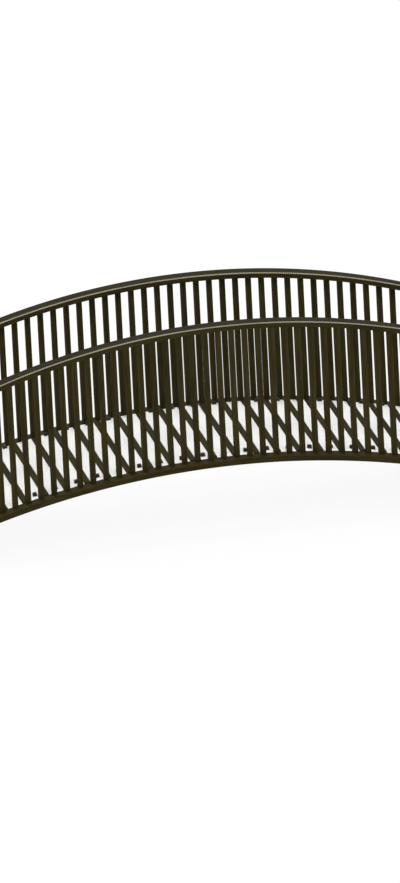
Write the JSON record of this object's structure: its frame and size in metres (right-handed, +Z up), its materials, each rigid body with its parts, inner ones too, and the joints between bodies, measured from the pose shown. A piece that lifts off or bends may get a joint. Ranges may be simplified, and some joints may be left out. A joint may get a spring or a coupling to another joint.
{
  "type": "arched footbridge",
  "caption": "Arched timber footbridge with a pale boarded deck, dark cross-bars and edge planks, and arched cap rails on close upright balusters.",
  "frame": {"origin": "centre of the footprint on the floor, under the crown of the arch", "axes": "+X along the walkway to the right end, +Y across it to the back railing, +Z up"},
  "size_m": [5.512, 1.464, 1.7286],
  "materials": {
    "dark_wood": "dark brown stain, matt",
    "pale_wood": "whitewashed, matt"
  },
  "bodies": {
    "root": {"back_balusters_1": "dark_wood", "back_balusters_2": "dark_wood", "back_balusters_3": "dark_wood", "back_balusters_4": "dark_wood", "back_balusters_5": "dark_wood", "back_beam": "dark_wood", "back_cap_rail": "dark_wood", "back_edge_plank": "dark_wood", "back_left_end_post": "dark_wood", "back_right_end_post": "dark_wood", "centre_beam": "dark_wood", "deck_bars_1": "dark_wood", "deck_bars_2": "dark_wood", "deck_bars_3": "dark_wood", "deck_boards_1": "pale_wood", "deck_boards_2": "pale_wood", "deck_boards_3": "pale_wood", "front_balusters_1": "dark_wood", "front_balusters_2": "dark_wood", "front_balusters_3": "dark_wood", "front_balusters_4": "dark_wood", "front_balusters_5": "dark_wood", "front_beam": "dark_wood", "front_cap_rail": "dark_wood", "front_edge_plank": "dark_wood", "front_left_end_post": "dark_wood", "front_right_end_post": "dark_wood", "left_end_board": "dark_wood", "right_end_board": "dark_wood"}
  },
  "joints": []
}
